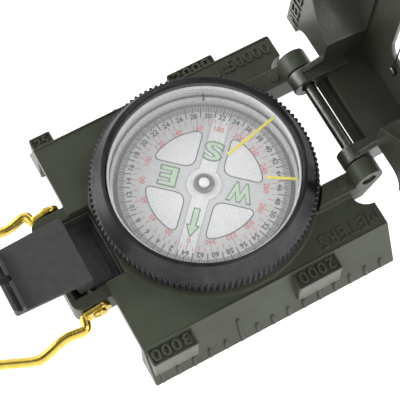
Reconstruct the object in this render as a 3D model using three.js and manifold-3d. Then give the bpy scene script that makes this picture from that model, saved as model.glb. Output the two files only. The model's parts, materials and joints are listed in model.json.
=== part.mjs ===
// A folding sighting compass: a cast base with map scales, a liquid-filled dial under a knurled
// bezel, a cover that opens on a long hinge pin, a folding rear sight and a wire thumb loop.
// Millimetres, +Z up. The origin is on the dial axis at the base's flat underside, +X points to the
// cover hinge and the rear sight is at -X.
import * as THREE from 'three';
import { mergeVertices } from 'three/addons/utils/BufferGeometryUtils.js';
import Module from 'manifold-3d';

const wasm = await Module();
wasm.setup();

// ---- Driving dimensions ----------------------------------------------------------------------
const GAP = 0.3;               // running gap between neighbouring pieces
const TAIL_X = -29.6;          // end of the base and of the closed cover at the rear sight
const HEAD_X = 31.8;           // end of the base at the hinge
const RIDGE_Y = 26.9;          // half width of the level faces of the base and the cover
const EDGE_Y = 32.1;           // half width of the sloping scale faces at their outer edge
const PLATE_Z = 12.2;          // level top of the base
const COVER_FACE_Z = 20.8;     // inner face of the closed cover
const CLOSED_Z = 33;           // outer face of the closed cover
const SCALE_PITCH = 4;         // 100 metres on a 1:25 000 map
const SCALE_FIRST_X = -27.65;
const RIB_TOP = 0.4;           // how far a scale rib stands off its sloping face

const WELL_R = 22.3;           // round well of the base that holds the capsule
const PAD_R = 25.9;            // raised round pad under the bezel
const PAD_Z = 12.8;
const TURRET_R = 23.3;         // round neck that the bezel turns on
const TURRET_Z = 15.6;
const WELL_WALL_R = 25.2;      // the well's wall where the base is cut back for the hinge
const CAP_R = 22.6;            // disc that closes the well from below
const CAP_Z = 1.4;

const KNURL_R = 25.55;
const LIP_R = 22.75;
const LIP_BORE = 21.67;
const LIP_Z = 23.1;
const GLASS_Z = 21.2;
const GLASS_R = 21.35;
const LID_Z = 16.8;            // window of the capsule
const CARD_R = 19.27;
const CARD_Z = 14.1;
const CARD_TOP_Z = 14.6;
const STEM_R = 1.65;           // hub's stem, which the card and the needle hang on
const NORTH = THREE.MathUtils.degToRad(-133);         // where the card's north mark points
const LONG_LINE_TURN = THREE.MathUtils.degToRad(12.3);
const LINE_SPREAD = THREE.MathUtils.degToRad(45);     // angle between the two luminous lines

const HINGE_X = 32.1;          // cover hinge axis
const HINGE_Z = 16.5;
const KNUCKLE_R = 3.5;
const HINGE_PIN_R = 1.4;
const HINGE_PIN_Y = 16.9;      // half length of the hinge pin
const LUG_IN = 13.0;           // inner and outer faces of the base's hinge lugs
const LUG_OUT = 17.5;
const LUG_Z = 8.4;             // underside of the lugs and of the base between them
const EAR_IN = 9.0;            // inner and outer faces of the cover's ears
const EAR_OUT = 12.7;
const COVER_OPEN = THREE.MathUtils.degToRad(95);      // the cover stands this far open
const CAVITY_R = 24.0;         // round hollow of the cover, which takes the bezel
const CAVITY_Z = 31;
const WINDOW_Y = 3.2;          // half width of the cover's long window

const PIVOT_X = -33.4;         // common axis of the rear sight and the thumb loop
const PIVOT_Z = 8.6;
const PIVOT_PIN_R = 0.9;
const PIVOT_BORE_R = 1.2;
const TONGUE_X = -38.4;
const TONGUE_Y = 12.0;
const POCKET_Y = 9.0;
const POCKET_Z = 4.5;
const SIGHT_TIP_X = -50.2;
const SIGHT_TOP_Z = 15.3;
const SIGHT_THICK = 1.4;
const SIGHT_ARM_Y = 8.2;
const SPRING_WIRE_R = 0.28;
const SPRING_COIL_R = 1.75;
const WIRE_R = 1.15;           // thumb loop wire
const LOOP_LENGTH = 38;
const LOOP_DROOP = THREE.MathUtils.degToRad(11.6);    // the loop rests on the table, this far below level
const TAB_IN = 12.3;           // flattened ends of the loop, outside the tongue
const TAB_OUT = 13.5;

const FINE = 60;               // facets round the large circles that show
const MEDIUM = 40;
const SMALL = 16;

// ---- Solids ----------------------------------------------------------------------------------
// A closed solid from a three.js geometry whose shared vertices are merged.
function solid(geometry) {
  const bare = geometry.clone();
  bare.deleteAttribute('normal');
  bare.deleteAttribute('uv');
  const merged = mergeVertices(bare, 1e-4);
  const triangles = new Uint32Array(merged.index.array);
  if (signedVolume(merged) < 0) {
    for (let i = 0; i < triangles.length; i += 3) {
      [triangles[i + 1], triangles[i + 2]] = [triangles[i + 2], triangles[i + 1]];
    }
  }
  const vertices = new Float32Array(merged.attributes.position.array);
  return new wasm.Manifold(new wasm.Mesh({ numProp: 3, vertProperties: vertices, triVerts: triangles }));
}

function signedVolume(geometry) {
  const position = geometry.attributes.position;
  const index = geometry.index.array;
  const [a, b, c] = [new THREE.Vector3(), new THREE.Vector3(), new THREE.Vector3()];
  let volume = 0;
  for (let i = 0; i < index.length; i += 3) {
    a.fromBufferAttribute(position, index[i]);
    b.fromBufferAttribute(position, index[i + 1]);
    c.fromBufferAttribute(position, index[i + 2]);
    volume += a.dot(b.cross(c)) / 6;
  }
  return volume;
}

const join = (...solids) => solids.reduce((whole, piece) => whole.add(piece));
const cut = (whole, ...tools) => tools.reduce((rest, tool) => rest.subtract(tool), whole);

function box(x0, x1, y0, y1, z0, z1) {
  const geometry = new THREE.BoxGeometry(x1 - x0, y1 - y0, z1 - z0);
  geometry.translate((x0 + x1) / 2, (y0 + y1) / 2, (z0 + z1) / 2);
  return solid(geometry);
}

// An upright cylinder from z0 to z1.
function post(x, y, radius, z0, z1, facets = MEDIUM) {
  const geometry = new THREE.CylinderGeometry(radius, radius, z1 - z0, facets);
  geometry.rotateX(Math.PI / 2);
  geometry.translate(x, y, (z0 + z1) / 2);
  return solid(geometry);
}

// A cylinder along Y from y0 to y1.
function rod(x, z, radius, y0, y1, facets = SMALL) {
  const geometry = new THREE.CylinderGeometry(radius, radius, y1 - y0, facets);
  geometry.translate(x, (y0 + y1) / 2, z);
  return solid(geometry);
}

// A profile of (radius, z) points turned about the dial axis.
function turned(profile, facets = FINE) {
  const geometry = new THREE.LatheGeometry(profile.map(([r, z]) => new THREE.Vector2(r, z)), facets);
  geometry.rotateX(Math.PI / 2);
  return solid(geometry);
}

// A ring of rectangular section.
function ring(inner, outer, z0, z1, facets = FINE) {
  return turned([[inner, z0], [outer, z0], [outer, z1], [inner, z1], [inner, z0]], facets);
}

function outline(points) {
  return new THREE.Shape(points.map(([u, v]) => new THREE.Vector2(u, v)));
}

// A shape drawn in plan and extruded from z0 to z1.
function slab(shape, z0, z1, curveSegments = 10) {
  const geometry = new THREE.ExtrudeGeometry(shape, { depth: z1 - z0, bevelEnabled: false, curveSegments });
  geometry.translate(0, 0, z0);
  return solid(geometry);
}

// A shape drawn as (y, z) and extruded along X.
function alongX(shape, x0, x1) {
  const geometry = new THREE.ExtrudeGeometry(shape, { depth: x1 - x0, bevelEnabled: false });
  geometry.applyMatrix4(new THREE.Matrix4().makeBasis(
    new THREE.Vector3(0, 1, 0), new THREE.Vector3(0, 0, 1), new THREE.Vector3(1, 0, 0)));
  geometry.translate(x0, 0, 0);
  return solid(geometry);
}

// A shape drawn as (x, z) and extruded along Y.
function alongY(shape, y0, y1) {
  const geometry = new THREE.ExtrudeGeometry(shape, { depth: y1 - y0, bevelEnabled: false });
  geometry.applyMatrix4(new THREE.Matrix4().makeBasis(
    new THREE.Vector3(1, 0, 0), new THREE.Vector3(0, 0, 1), new THREE.Vector3(0, -1, 0)));
  geometry.translate(0, y1, 0);
  return solid(geometry);
}

// A plan outline with all four corners rounded.
function roundedPlate(x0, x1, y0, y1, radius) {
  const shape = new THREE.Shape();
  shape.moveTo(x0 + radius, y0);
  shape.lineTo(x1 - radius, y0);
  shape.absarc(x1 - radius, y0 + radius, radius, -Math.PI / 2, 0);
  shape.lineTo(x1, y1 - radius);
  shape.absarc(x1 - radius, y1 - radius, radius, 0, Math.PI / 2);
  shape.lineTo(x0 + radius, y1);
  shape.absarc(x0 + radius, y1 - radius, radius, Math.PI / 2, Math.PI);
  shape.lineTo(x0, y0 + radius);
  shape.absarc(x0 + radius, y0 + radius, radius, Math.PI, 1.5 * Math.PI);
  return shape;
}

// The same solid on the other side of the XZ plane.
const mirrored = (piece) => piece.mirror([0, 1, 0]);
const bothSides = (piece) => join(piece, mirrored(piece));

const compass = new THREE.Group();
const coverGroup = new THREE.Group();
coverGroup.position.set(HINGE_X, 0, HINGE_Z);
coverGroup.rotation.y = COVER_OPEN;
const loopGroup = new THREE.Group();
loopGroup.position.set(PIVOT_X, 0, PIVOT_Z);
loopGroup.rotation.y = -LOOP_DROOP;
compass.add(coverGroup, loopGroup);

// Adds a solid as a named mesh; a turned group's pieces are first moved to its pivot.
function add(name, piece, look, group = compass) {
  const moved = group === compass ? piece : piece.translate([-group.position.x, 0, -group.position.z]);
  const { vertProperties, triVerts } = moved.getMesh();
  const geometry = new THREE.BufferGeometry();
  geometry.setAttribute('position', new THREE.BufferAttribute(new Float32Array(vertProperties), 3));
  geometry.setIndex(new THREE.BufferAttribute(new Uint32Array(triVerts), 1));
  geometry.computeVertexNormals();
  const mesh = new THREE.Mesh(geometry, new THREE.MeshStandardMaterial(look));
  mesh.name = name;
  group.add(mesh);
}

// ---- Finishes --------------------------------------------------------------------------------
const olivePaint = { color: 0x4e5148, roughness: 0.55, metalness: 0.2 };
const coverPaint = { color: 0x3f423a, roughness: 0.5, metalness: 0.2 };
const blackAnodised = { color: 0x1c1c1e, roughness: 0.35, metalness: 0.5 };
const blackPlastic = { color: 0x2b2b2c, roughness: 0.6, metalness: 0 };
const glassClear = { color: 0xe6eef0, roughness: 0.05, metalness: 0 };
const whitePlastic = { color: 0xd8d8da, roughness: 0.5, metalness: 0 };
const cardWhite = { color: 0xe4e4e6, roughness: 0.6, metalness: 0 };
const brass = { color: 0xd9b83c, roughness: 0.25, metalness: 1 };
const steel = { color: 0x9c9c9c, roughness: 0.3, metalness: 1 };
const darkSteel = { color: 0x4a4a48, roughness: 0.35, metalness: 1 };
const rubber = { color: 0x202020, roughness: 0.9, metalness: 0 };
const luminousYellow = { color: 0xe8d83a, roughness: 0.6, metalness: 0 };

// ---- Map scales shared by the base and the cover -----------------------------------------------
// Raised ribs on the sloping faces between the level face at ridgeZ and the outer edge at edgeZ. Every
// fifth rib is long. The ribs follow the slope and stand a little off it.
function scaleRibs(ridgeZ, edgeZ, firstX, count, ribWidth = 0.8) {
  const across = EDGE_Y - RIDGE_Y;
  const rise = ridgeZ - edgeZ;
  const slope = Math.hypot(across, rise);
  const off = [RIB_TOP * Math.abs(rise) / slope, RIB_TOP * Math.sign(rise) * across / slope];
  const at = (share) => [EDGE_Y - across * share, edgeZ + rise * share];
  const ribs = [];
  for (let k = 0; k < count; k += 1) {
    const [outY, outZ] = at(0.015);
    const [inY, inZ] = at(k % 5 === 0 ? 0.55 : 0.24);
    const section = outline([
      [outY - off[0], outZ - off[1]], [inY - off[0], inZ - off[1]],
      [inY + off[0], inZ + off[1]], [outY + off[0], outZ + off[1]],
    ]);
    const x = firstX + k * SCALE_PITCH;
    ribs.push(alongX(section, x - ribWidth / 2, x + ribWidth / 2));
  }
  return bothSides(join(...ribs));
}

// ---- Base ------------------------------------------------------------------------------------
function makeBase() {
  const scaleFace = outline([[-EDGE_Y, 0], [EDGE_Y, 0], [RIDGE_Y, PLATE_Z], [-RIDGE_Y, PLATE_Z]]);
  const block = alongX(scaleFace, TAIL_X, HEAD_X);
  const undercut = alongY(outline([[-31, 10.2], [TAIL_X, 10.2], [-25.2, -0.5], [-31, -0.5]]), -25.2, 25.2);
  const pad = turned([
    [WELL_R - 1, 0], [WELL_WALL_R, 0], [WELL_WALL_R, 8], [PAD_R, 8], [PAD_R, PAD_Z], [TURRET_R, PAD_Z],
    [TURRET_R, 14.0], [TURRET_R - 0.5, 14.0], [TURRET_R - 0.5, 15.0], [TURRET_R, 15.0],
    [TURRET_R, TURRET_Z], [WELL_R - 1, TURRET_Z], [WELL_R - 1, 0],
  ]);
  const capSeat = CAP_Z + GAP;
  const well = turned([
    [0, -1], [CAP_R + GAP, -1], [CAP_R + GAP, capSeat], [WELL_R, capSeat], [WELL_R, 17], [0, 17],
  ]);

  // Between and under the hinge lugs the base is cut back to the well's round wall.
  const hingeCut = slab(roundedPlate(23.4, 42, -LUG_IN, LUG_IN, 0.9), -1, 14, 5);
  const underLugs = slab(roundedPlate(23.4, 42, -LUG_OUT, LUG_OUT, 0.9), -1, LUG_Z, 5);
  const cornerRelief = post(31.6, LUG_OUT, 3.6, -1, 14, 24);

  const lugShape = outline([
    [18.5, LUG_Z], [31.2, LUG_Z], [35.0, 14.6], [HINGE_X, 17], [HINGE_X, 15.5], [18.5, 15.5],
  ]);
  const lug = join(
    alongY(lugShape, LUG_IN, LUG_OUT),
    rod(HINGE_X, HINGE_Z, KNUCKLE_R, LUG_IN, LUG_OUT, 28),
    post(26.6, 15.2, 1.25, 15, 15.9, SMALL),
  );
  const bezelRoom = ring(WELL_R - 2, PAD_R + 0.2, PAD_Z, 17);
  const hingeBore = rod(HINGE_X, HINGE_Z, HINGE_PIN_R + GAP, -20, 20);

  const tongueShape = roundedPlate(TONGUE_X, -20, -TONGUE_Y, TONGUE_Y, 2.5);
  const tongue = cut(slab(tongueShape, 3, 10.6), box(-26, -10, -20, 20, 0, 20));
  const pocket = box(-37, -24.7, -POCKET_Y, POCKET_Y, POCKET_Z, 20);
  const pivotBore = rod(PIVOT_X, PIVOT_Z, PIVOT_BORE_R, -20, 20);

  // Level-topped blocks stand out of the sloping faces and carry the scales' figures.
  const labels = join(
    box(-29.2, -18.1, -31.0, -26.4, 4, 11.7),
    box(6.9, 17.9, -31.0, -26.4, 4, 11.7),
    box(-29.4, -24.1, 26.4, 29.9, 4, 11.9),
    box(5.9, 17.9, 26.4, 29.4, 4, 11.7),
  );

  const ribs = scaleRibs(PLATE_Z, 0, SCALE_FIRST_X, 15);
  const body = cut(join(cut(block, undercut), ribs, labels), hingeCut, underLugs, bothSides(cornerRelief));
  const casting = join(body, bothSides(lug), tongue);
  const seated = join(cut(casting, bezelRoom), pad);
  add('base_body', cut(seated, well, pocket, pivotBore, hingeBore), olivePaint);
  add('bottom_cap', turned([[0, 0], [CAP_R, 0], [CAP_R, CAP_Z], [0, CAP_Z]]), olivePaint);
  add('sight_bed', join(
    box(-36.6, -25.0, -8.6, 8.6, POCKET_Z + GAP, 5.3),
    box(-36.6, -35.9, -8.6, 8.6, POCKET_Z + GAP, 6.2),
  ), blackPlastic);
}

// ---- Capsule and card --------------------------------------------------------------------------
function makeCapsule() {
  add('capsule_cup', turned([
    [0, 1.8], [22.0, 1.8], [22.0, 18.7], [21.6, 18.7], [21.6, 15.7], [20.4, 15.7], [20.4, 6], [0, 6],
  ], MEDIUM), whitePlastic);
  add('capsule_seal', ring(20.95, 21.3, 16.0, 16.5, MEDIUM), rubber);
  add('capsule_lid', turned([[0, LID_Z], [21.3, LID_Z], [21.3, 18.1], [0, 18.1]], MEDIUM), glassClear);
  add('pivot_post', turned([[0, 6.3], [3, 6.3], [3, 7], [1.1, 7.4], [0.9, 11.4], [0, 13.1]], SMALL), steel);

  const stemRoom = post(0, 0, STEM_R + GAP, 0, 20, SMALL);
  const disc = turned([[0, CARD_Z], [CARD_R, CARD_Z], [CARD_R, CARD_TOP_Z], [0, CARD_TOP_Z]]);
  add('card_disc', cut(disc, stemRoom), cardWhite);
  const magnet = cut(box(-14, 14, -2, 2, 12.2, 13.8), stemRoom);
  add('needle_magnet', magnet.rotate([0, 0, THREE.MathUtils.radToDeg(NORTH)]), darkSteel);
  add('card_hub', turned([
    [0, 13.6], [1.15, 11.8], [STEM_R, 11.8], [STEM_R, 14.9], [2.35, 14.9], [2.35, 15.3], [2.0, 15.6],
    [1.5, 15.6], [1.5, 15.1], [0, 15.1],
  ], SMALL), darkSteel);
  const jewel = turned([[0, 15.4], [1.2, 15.4], [1.2, 15.8], [0.8, 16.1], [0, 16.2]], SMALL);
  add('jewel_bearing', jewel, glassClear);
}

// ---- Bezel -------------------------------------------------------------------------------------
// The long line points near the hinge and the short one lies an eighth of a turn clockwise from it.
function makeBezel() {
  add('bezel_ring', turned([
    [23.6, 13.7], [25.0, 13.7], [25.0, 15.4], [KNURL_R, 15.4], [KNURL_R, 18.0], [24.8, 18.2],
    [LIP_R, 22.4], [22.6, LIP_Z], [LIP_BORE, LIP_Z], [LIP_BORE, 19.6], [21.2, 19.6], [21.2, 19.2],
    [22.3, 18.9], [22.3, 16.0], [23.6, 16.0], [23.6, 15.0], [24.3, 15.0], [24.3, 14.0],
    [23.6, 14.0], [23.6, 13.7],
  ]), blackAnodised);
  add('bezel_glass', turned([[0, GLASS_Z], [GLASS_R, GLASS_Z], [GLASS_R, 22.4], [0, 22.4]]), glassClear);
  add('glass_seat', ring(20.9, 21.35, 19.9, 20.9), whitePlastic);
  const line = (inner, outer, angle) => box(inner, outer, -0.35, 0.35, 20.6, 20.9)
    .rotate([0, 0, THREE.MathUtils.radToDeg(angle)]);
  add('luminous_line_long', line(6.9, 20.5, LONG_LINE_TURN), luminousYellow);
  add('luminous_line_short', line(13.5, 20.5, LONG_LINE_TURN - LINE_SPREAD), luminousYellow);

  // The split ring lies half in the neck's groove and half in the bezel's.
  const gapHalf = 0.08;
  const split = new THREE.Shape();
  split.absarc(0, 0, 24.0, gapHalf, 2 * Math.PI - gapHalf, false);
  split.absarc(0, 0, 23.1, 2 * Math.PI - gapHalf, gapHalf, true);
  add('bezel_retaining_ring', slab(split, 14.3, 14.7, 32), steel);

  // The click spring is a thin bowed leaf between the pad and the bezel.
  const leaf = new THREE.Shape();
  leaf.absarc(0, 0, 24.9, 2.3, 3.0, false);
  leaf.absarc(0, 0, 23.8, 3.0, 2.3, true);
  add('bezel_click_spring', slab(leaf, PAD_Z + GAP, PAD_Z + 0.6, 10), steel);
}

// ---- Rear sight and thumb loop -------------------------------------------------------------------
function makeRearSight() {
  const plate = new THREE.Shape();
  plate.moveTo(-31.8, -8.2);
  plate.lineTo(-31.8, 8.2);
  plate.lineTo(SIGHT_TIP_X + 0.8, 7.6);
  plate.absarc(SIGHT_TIP_X + 0.8, 6.8, 0.8, Math.PI / 2, Math.PI);
  plate.lineTo(SIGHT_TIP_X, -6.8);
  plate.absarc(SIGHT_TIP_X + 0.8, -6.8, 0.8, Math.PI, 1.5 * Math.PI);
  const sheet = slab(plate, SIGHT_TOP_Z - SIGHT_THICK, SIGHT_TOP_Z, 4);
  const tipRoom = box(-51, -47.4, -9, 9, 10, 20);
  const tipBar = slab(plate, SIGHT_TOP_Z - 0.2, SIGHT_TOP_Z + 2.3, 4).intersect(tipRoom);
  const groove = box(SIGHT_TIP_X + 0.9, SIGHT_TIP_X + 1.9, -9, 9, SIGHT_TOP_Z + 1, 20);
  const notch = box(-51, -47, -0.8, 0.8, SIGHT_TOP_Z + 0.2, 20);

  const armShape = new THREE.Shape();
  armShape.moveTo(-31.8, SIGHT_TOP_Z - 0.4);
  armShape.lineTo(-36.2, SIGHT_TOP_Z - 0.4);
  armShape.lineTo(PIVOT_X - 1.8, PIVOT_Z);
  armShape.absarc(PIVOT_X, PIVOT_Z, 1.8, Math.PI, 2 * Math.PI);
  const arm = alongY(armShape, 7.0, SIGHT_ARM_Y);
  const bore = rod(PIVOT_X, PIVOT_Z, PIVOT_BORE_R, -10, 10);
  add('rear_sight', cut(join(cut(join(sheet, tipBar), groove, notch), bothSides(arm)), bore), blackPlastic);
  add('rear_sight_pin', rod(PIVOT_X, PIVOT_Z, PIVOT_PIN_R, -10.2, 10.2), steel);

  // A coil of three and a half turns round the pin.
  class Coil extends THREE.Curve {
    getPoint(t, target = new THREE.Vector3()) {
      const turn = t * 3.5 * 2 * Math.PI;
      const x = PIVOT_X + SPRING_COIL_R * Math.cos(turn);
      const z = PIVOT_Z + SPRING_COIL_R * Math.sin(turn);
      return target.set(x, -6.4 + 3.2 * t, z);
    }
  }
  const wire = new THREE.Shape();
  wire.absarc(0, 0, SPRING_WIRE_R, 0, 2 * Math.PI);
  add('rear_sight_spring', solid(new THREE.ExtrudeGeometry(wire, {
    steps: 40, extrudePath: new Coil(), curveSegments: 3, bevelEnabled: false,
  })), steel);
}

// The loop's centre line: the far side from the tab outwards, the round end, and the near side back.
function loopRoute() {
  const side = [
    [2.6, 12.9], [3.6, 13.0], [4.4, 14.9], [5.2, 15.2], [8.6, 14.65], [10.4, 14.7], [14.2, 15.5],
    [16.6, 15.75], [18.4, 15.2], [24, 12.5], [30.5, 9.5],
  ];
  const route = [...side];
  const endRadius = 7.4;
  const endWidening = 1.12;
  const endCentre = LOOP_LENGTH - WIRE_R - endRadius;
  const endStart = 0.36 * Math.PI;
  for (let k = 0; k <= 6; k += 1) {
    const turn = endStart * (1 - k / 3);
    route.push([endCentre + endRadius * Math.cos(turn), endWidening * endRadius * Math.sin(turn)]);
  }
  for (const [out, y] of [...side].reverse()) {
    route.push([out, -y]);
  }
  return route.map(([out, y]) => new THREE.Vector3(PIVOT_X - out, y, PIVOT_Z));
}

function makeThumbLoop() {
  const path = new THREE.CatmullRomCurve3(loopRoute(), false, 'centripetal');
  const section = new THREE.Shape();
  section.absarc(0, 0, WIRE_R, 0, 2 * Math.PI);
  const wire = solid(new THREE.ExtrudeGeometry(section, {
    steps: 60, extrudePath: path, curveSegments: 4, bevelEnabled: false,
  }));
  const tabShape = new THREE.Shape();
  tabShape.moveTo(PIVOT_X - 3.6, PIVOT_Z - 1.7);
  tabShape.lineTo(PIVOT_X + 0.9, PIVOT_Z - 1.9);
  tabShape.absarc(PIVOT_X + 0.9, PIVOT_Z, 1.9, -Math.PI / 2, Math.PI / 2);
  tabShape.lineTo(PIVOT_X - 3.6, PIVOT_Z + 1.7);
  const tab = alongY(tabShape, TAB_IN, TAB_OUT);
  const bore = rod(PIVOT_X, PIVOT_Z, PIVOT_BORE_R, -20, 20);
  const inner = box(PIVOT_X - 4.2, PIVOT_X + 4, -TAB_IN, TAB_IN, 0, 20);
  add('thumb_loop', cut(join(wire, bothSides(tab)), bore, inner), brass, loopGroup);

  const shank = rod(PIVOT_X, PIVOT_Z, PIVOT_PIN_R, 10.6, TAB_OUT + 0.5);
  const head = rod(PIVOT_X, PIVOT_Z, 1.75, TAB_OUT + GAP, TAB_OUT + 1.1);
  const slot = box(PIVOT_X - 3, PIVOT_X + 3, TAB_OUT + 0.75, TAB_OUT + 2, PIVOT_Z - 0.25, PIVOT_Z + 0.25);
  const screw = cut(join(shank, head), slot);
  add('loop_screw_near', mirrored(screw), brass);
  add('loop_screw_far', screw, brass);
}

// ---- Cover ---------------------------------------------------------------------------------------
// Drawn closed over the dial, then turned open on the hinge with its group.
function makeCover() {
  const end = HINGE_X - 0.5;
  const scaleFace = outline([
    [-RIDGE_Y, COVER_FACE_Z], [RIDGE_Y, COVER_FACE_Z], [EDGE_Y, CLOSED_Z], [-EDGE_Y, CLOSED_Z],
  ]);
  const block = join(alongX(scaleFace, TAIL_X, end), scaleRibs(COVER_FACE_Z, CLOSED_Z, SCALE_FIRST_X, 15));
  const cavity = post(0, 0, CAVITY_R, COVER_FACE_Z - 5, CAVITY_Z, FINE);
  const sightRoom = box(-31, -15, -9.8, 9.8, COVER_FACE_Z - 5, CAVITY_Z);
  const hingeRoom = box(10, end - 1.6, -11.3, 11.3, COVER_FACE_Z - 5, CAVITY_Z);
  const channel = box(-19, end - 1.6, -11.3, 11.3, CAVITY_Z - 1, CAVITY_Z + 0.7);
  const window = slab(roundedPlate(-13, 19.5, -WINDOW_Y, WINDOW_Y, WINDOW_Y - 0.05), 20, 40);

  // The hinge end is cut back on both sides of the ears, with round inner corners.
  const relief = new THREE.Shape();
  relief.moveTo(end + 5, EAR_OUT);
  relief.lineTo(end - 3.6, EAR_OUT);
  relief.lineTo(end - 3.6, 18.5);
  relief.absarc(end + 0.4, 18.5, 4, Math.PI, Math.PI / 2, true);
  relief.lineTo(end + 5, 22.5);
  const sideRelief = slab(relief, 10, 40, 8);

  const earShape = new THREE.Shape();
  earShape.moveTo(HINGE_X + 3.4, HINGE_Z);
  earShape.lineTo(HINGE_X + 1.5, COVER_FACE_Z + 1.5);
  earShape.lineTo(HINGE_X + 1.5, 27);
  earShape.lineTo(HINGE_X - 5, 27);
  earShape.lineTo(HINGE_X - 5, COVER_FACE_Z);
  earShape.lineTo(HINGE_X - 3.4, HINGE_Z);
  const ear = join(alongY(earShape, EAR_IN, EAR_OUT), rod(HINGE_X, HINGE_Z, KNUCKLE_R, EAR_IN, EAR_OUT, 28));
  const web = box(HINGE_X + 0.5, HINGE_X + 1.5, -EAR_IN - 0.5, EAR_IN + 0.5, HINGE_Z + 2.2, 27);
  const ledge = box(end - 1.6, HINGE_X + 1.5, -EAR_IN - 0.5, EAR_IN + 0.5, HINGE_Z + 8.5, 27);
  const bore = rod(HINGE_X, HINGE_Z, HINGE_PIN_R + GAP, -20, 20);

  const open = cut(block, cavity, sightRoom, hingeRoom, channel, bothSides(sideRelief));
  const hinged = cut(join(open, bothSides(ear), web, ledge), cut(hingeRoom, box(29, 40, -20, 20, 0, 40)));
  add('cover', cut(hinged, window, bore), coverPaint, coverGroup);

  // The sighting wire crosses the window lengthways between two anchors.
  const wireZ = CAVITY_Z + 0.1;
  add('sighting_wire', box(-14.6, 21.1, -0.2, 0.2, wireZ - 0.1, wireZ + 0.3), darkSteel, coverGroup);
  const anchor = (x) => post(x, 0, 1.1, wireZ - 0.3, wireZ + 0.3, SMALL);
  add('wire_anchor_front', anchor(-16), coverPaint, coverGroup);
  add('wire_anchor_hinge', anchor(22.5), coverPaint, coverGroup);
  add('hinge_pin', rod(HINGE_X, HINGE_Z, HINGE_PIN_R, -HINGE_PIN_Y, HINGE_PIN_Y), darkSteel);
}

makeBase();
makeCapsule();
makeBezel();
makeRearSight();
makeThumbLoop();
makeCover();

export default compass;
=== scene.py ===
import json
import math

import bmesh
import bpy
from mathutils import Matrix, Vector


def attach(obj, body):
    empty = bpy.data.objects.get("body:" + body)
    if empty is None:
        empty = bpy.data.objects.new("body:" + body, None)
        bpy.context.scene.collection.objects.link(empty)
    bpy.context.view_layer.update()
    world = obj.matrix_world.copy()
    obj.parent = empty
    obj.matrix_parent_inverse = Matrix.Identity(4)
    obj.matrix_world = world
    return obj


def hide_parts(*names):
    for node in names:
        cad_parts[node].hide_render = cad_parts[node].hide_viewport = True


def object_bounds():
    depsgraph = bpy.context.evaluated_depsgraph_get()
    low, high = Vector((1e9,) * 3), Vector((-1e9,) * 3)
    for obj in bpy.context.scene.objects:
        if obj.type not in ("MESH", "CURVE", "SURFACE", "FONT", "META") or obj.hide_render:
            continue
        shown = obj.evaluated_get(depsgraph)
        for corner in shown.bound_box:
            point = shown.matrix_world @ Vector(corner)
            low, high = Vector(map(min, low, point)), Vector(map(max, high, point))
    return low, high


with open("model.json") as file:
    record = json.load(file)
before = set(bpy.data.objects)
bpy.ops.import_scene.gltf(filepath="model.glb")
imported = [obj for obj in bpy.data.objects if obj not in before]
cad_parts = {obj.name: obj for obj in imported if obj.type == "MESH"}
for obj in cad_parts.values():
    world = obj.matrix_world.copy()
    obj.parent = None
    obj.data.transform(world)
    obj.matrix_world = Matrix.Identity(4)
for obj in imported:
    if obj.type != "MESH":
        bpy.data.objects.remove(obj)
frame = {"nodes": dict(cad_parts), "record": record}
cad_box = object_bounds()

MM = 0.001
nodes = frame["nodes"]

# ---- Camera and places ---------------------------------------------------------------------------
AZIMUTH = math.radians(-27.824)
ELEVATION = math.radians(67.49)
ROLL = math.radians(-0.945)
TARGET = Vector((-1.349, -0.459, 8.0)) * MM
DISTANCE = 327.4 * MM
LENS = 130.03

TAIL_X = -29.6
HEAD_X = 31.8
PLATE_Z = 12.2
RIDGE_Y = 26.9
EDGE_Y = 32.1
CLOSED_Z = 33.0
SCALE_PITCH = 4.0
SCALE_FIRST_X = -27.65
RIB_COUNT = 15
RIB_WIDTH = 0.8
RIB_TOP = 0.5
RIB_ROUNDING = 0.3
# A rib's ends on its slope, from the outer edge, and the lean of its inner end, in parts of the slope.
RIB_START = 0.035
RIB_LONG_END = 0.63
RIB_SHORT_END = 0.29
RIB_LEAN = 0.04
WELL_R = 22.3
PAD_R = 25.9
PAD_Z = 12.8
TURRET_R = 23.3
TURRET_Z = 15.6
WELL_WALL_R = 25.2
CAP_R = 22.6
KNURL_R = 25.55
LIP_R = 22.75
LIP_BORE = 21.67
LIP_Z = 23.1
GLASS_Z = 21.2
CARD_R = 19.27
CARD_Z = 14.1
CARD_TOP_Z = 14.6
INK_Z = CARD_TOP_Z + 0.05
STEM_R = 1.65
SEAT_R = 21.35
CUP_R = 22.0
LID_R = 21.3
NORTH = math.radians(-133)
LONG_LINE_TURN = math.radians(12.3)
LINE_SPREAD = math.radians(45)
INDEX_TURN = math.radians(61.6)
HINGE_X = 32.1
HINGE_Z = 16.5
KNUCKLE_R = 3.5
HINGE_BORE_R = 1.7
LUG_IN = 13.0
LUG_OUT = 17.5
LUG_Z = 8.4
EAR_IN = 9.0
EAR_OUT = 12.7
HINGE_PIN_R = 1.4
HINGE_PIN_Y = 16.9
COVER_OPEN = math.radians(95)
COVER_FACE_Z = 20.8
CAVITY_R = 24.0
CAVITY_Z = 31.0
WINDOW_Y = 3.2
PIVOT_X = -33.4
PIVOT_Z = 8.6
PIVOT_PIN_R = 0.9
PIVOT_BORE_R = 1.2
TONGUE_X = -38.4
TONGUE_Y = 12.0
POCKET_Y = 9.0
POCKET_Z = 4.5
WIRE_R = 1.15
LOOP_LENGTH = 37.93
TAB_IN = 12.3
TAB_OUT = 13.5
LOOP_DROOP = math.radians(11.6)

# How finely round parts are divided.
DIAL_STEPS = 160
KNUCKLE_STEPS = 64
BORE_STEPS = 40
PIVOT_STEPS = 32


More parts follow.
